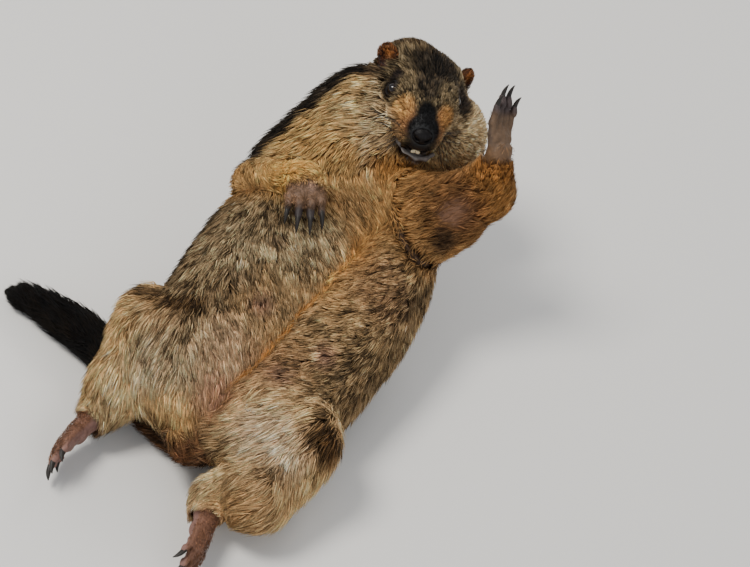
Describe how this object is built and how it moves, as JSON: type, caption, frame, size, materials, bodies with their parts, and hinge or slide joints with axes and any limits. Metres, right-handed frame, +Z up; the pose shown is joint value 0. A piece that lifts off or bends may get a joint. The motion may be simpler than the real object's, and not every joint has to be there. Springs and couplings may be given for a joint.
{
  "type": "alpine marmot",
  "caption": "Life-size alpine marmot lying on its back, chest and head raised, one forepaw on the chest and the other held up, bushy tail to one side.",
  "frame": {"origin": "middle of the whole outline, on the floor", "axes": "+Z up; +Y from the feet towards the head; +X to the animal's left side"},
  "size_m": [0.3631, 0.5049, 0.2488],
  "materials": {
    "body_coat": "dense fur, orange-brown below, blackish along the back",
    "head_coat": "short dense grizzled fur",
    "tail_coat": "long blackish-brown fur",
    "ear": "short rusty fur over skin",
    "paw": "thinly haired mauve-brown skin",
    "nose": "moist black skin",
    "claw": "dark horn, satin",
    "eye": "wet, nearly black",
    "incisor": "cream enamel"
  },
  "bodies": {
    "root": {"trunk": "body_coat", "neck": "body_coat", "head": "head_coat", "tail": "tail_coat", "nose": "nose", "eye_right": "eye", "eye_left": "eye", "ear_right": "ear", "ear_left": "ear", "incisor_right": "incisor", "incisor_left": "incisor", "foreleg_right": "body_coat", "forepaw_right": "paw", "hindleg_right": "body_coat", "hindfoot_right": "paw", "foreleg_left": "body_coat", "forepaw_left": "paw", "hindleg_left": "body_coat", "hindfoot_left": "paw", "claw_forepaw_right_1": "claw", "claw_forepaw_right_2": "claw", "claw_forepaw_right_3": "claw", "claw_forepaw_right_4": "claw", "claw_hindfoot_right_1": "claw", "claw_hindfoot_right_2": "claw", "claw_hindfoot_right_3": "claw", "claw_hindfoot_right_4": "claw", "claw_hindfoot_right_5": "claw", "claw_forepaw_left_1": "claw", "claw_forepaw_left_2": "claw", "claw_forepaw_left_3": "claw", "claw_forepaw_left_4": "claw", "claw_hindfoot_left_1": "claw", "claw_hindfoot_left_2": "claw", "claw_hindfoot_left_3": "claw", "claw_hindfoot_left_4": "claw", "claw_hindfoot_left_5": "claw"}
  },
  "joints": []
}
